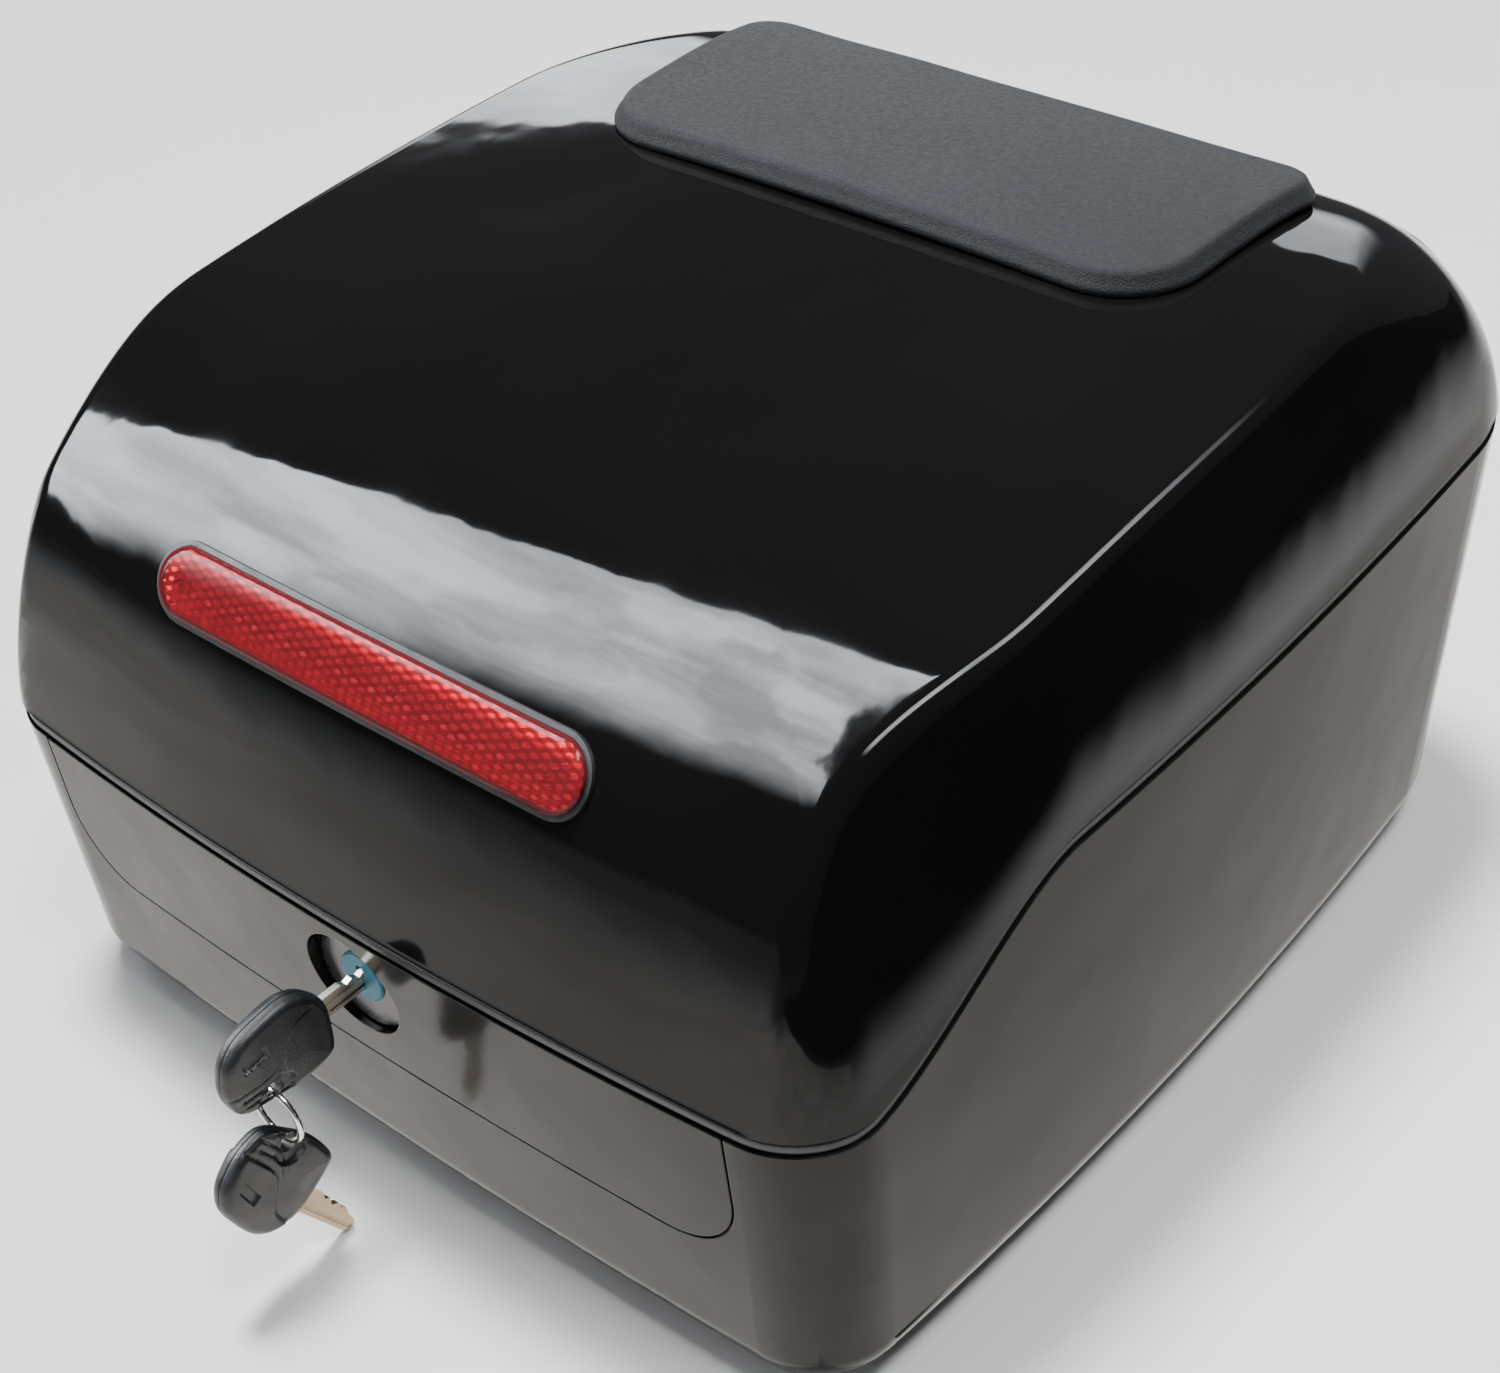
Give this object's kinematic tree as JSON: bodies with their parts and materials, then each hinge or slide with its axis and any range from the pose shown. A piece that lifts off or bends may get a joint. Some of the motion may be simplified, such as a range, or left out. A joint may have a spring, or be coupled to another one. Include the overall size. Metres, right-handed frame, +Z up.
{
  "type": "motorcycle top case",
  "caption": "Hard luggage box for a motorcycle's rear rack, with a hinged domed lid, backrest pad, reflector, push-button lock and keys.",
  "frame": {"origin": "centre of the four mounting slots, in the plane the case's runners rest on", "axes": "+Z up out of the rack, -Y towards the lock and key, +Y towards the hinges and backrest, X across the case"},
  "size_m": [0.3364, 0.4389, 0.2252],
  "materials": {
    "body_plastic": "black moulded polypropylene, satin with a faint grain",
    "lid_plastic": "high-gloss black lacquer on moulded plastic",
    "seal_rubber": "black foam rubber, matt",
    "zinc_steel": "zinc-plated pressed steel",
    "spring_steel": "drawn spring wire",
    "lock_plastic": "black moulded plastic",
    "button_plastic": "dark grey moulded plastic, semi-gloss",
    "nickel": "nickel-plated die casting",
    "reflector_tray": "black plastic tray",
    "reflector_red": "red transparent plastic with moulded prisms",
    "pad_vinyl": "charcoal grained vinyl over foam",
    "plate_plastic": "black moulded plastic",
    "key_plastic": "satin black moulded plastic",
    "key_brass": "nickel-plated brass, worn"
  },
  "bodies": {
    "case": {"body_shell": "body_plastic", "lock_panel": "body_plastic", "rim_seal": "seal_rubber", "hinge_body_leaf_left": "zinc_steel", "hinge_body_leaf_right": "zinc_steel", "hinge_pin_left": "zinc_steel", "hinge_pin_right": "zinc_steel", "hinge_screws_body": "zinc_steel", "lock_housing": "lock_plastic", "lock_housing_screws": "zinc_steel", "button_spring": "spring_steel", "latch_bracket": "zinc_steel", "latch_bracket_screws": "zinc_steel", "latch_pin": "zinc_steel", "latch_spring": "spring_steel"},
    "lid": {"lid_shell": "lid_plastic", "reflector_base": "reflector_tray", "reflector_lens": "reflector_red", "backrest_pad": "pad_vinyl", "pad_backing_plate": "plate_plastic", "pad_screws": "zinc_steel", "hinge_lid_leaf_left": "zinc_steel", "hinge_lid_leaf_right": "zinc_steel", "hinge_screws_lid": "zinc_steel", "lid_striker": "zinc_steel", "striker_screws": "zinc_steel"},
    "button": {"push_button": "button_plastic"},
    "cylinder": {"lock_cylinder": "nickel"},
    "latch": {"latch_hook": "zinc_steel"},
    "key": {"key_head": "key_plastic", "key_blade": "key_brass"},
    "ring": {"key_ring": "zinc_steel"},
    "spare_key": {"spare_key_head": "key_plastic", "spare_key_blade": "key_brass"}
  },
  "joints": [
    {"name": "lid_hinge", "type": "hinge", "parent": "case", "child": "lid", "pos_m": [0, 0.1915, 0.1492], "axis": [-1, 0, 0], "range_deg": [0, 95]},
    {"name": "button_press", "type": "slide", "parent": "case", "child": "button", "axis": [0, 1, 0], "range_m": [0, 0.0035], "stiffness_N_per_m": 600, "deforming": ["button_spring"]},
    {"name": "key_turn", "type": "hinge", "parent": "button", "child": "cylinder", "pos_m": [0, -0.18, 0.083], "axis": [0, 1, 0], "range_deg": [0, 90]},
    {"name": "key_pull", "type": "slide", "parent": "cylinder", "child": "key", "axis": [0, -1, 0], "range_m": [0, 0.016]},
    {"name": "ring_swing", "type": "hinge", "parent": "key", "child": "ring", "pos_m": [0, -0.219, 0.0704], "axis": [1, 0, 0], "range_deg": [-12, 12]},
    {"name": "spare_key_swing", "type": "hinge", "parent": "ring", "child": "spare_key", "pos_m": [0, -0.219, 0.05], "axis": [1, 0, 0], "range_deg": [-12, 12]},
    {"name": "latch_swing", "type": "hinge", "parent": "case", "child": "latch", "pos_m": [0, -0.152, 0.069], "axis": [-1, 0, 0], "range_deg": [-16, 0]}
  ]
}
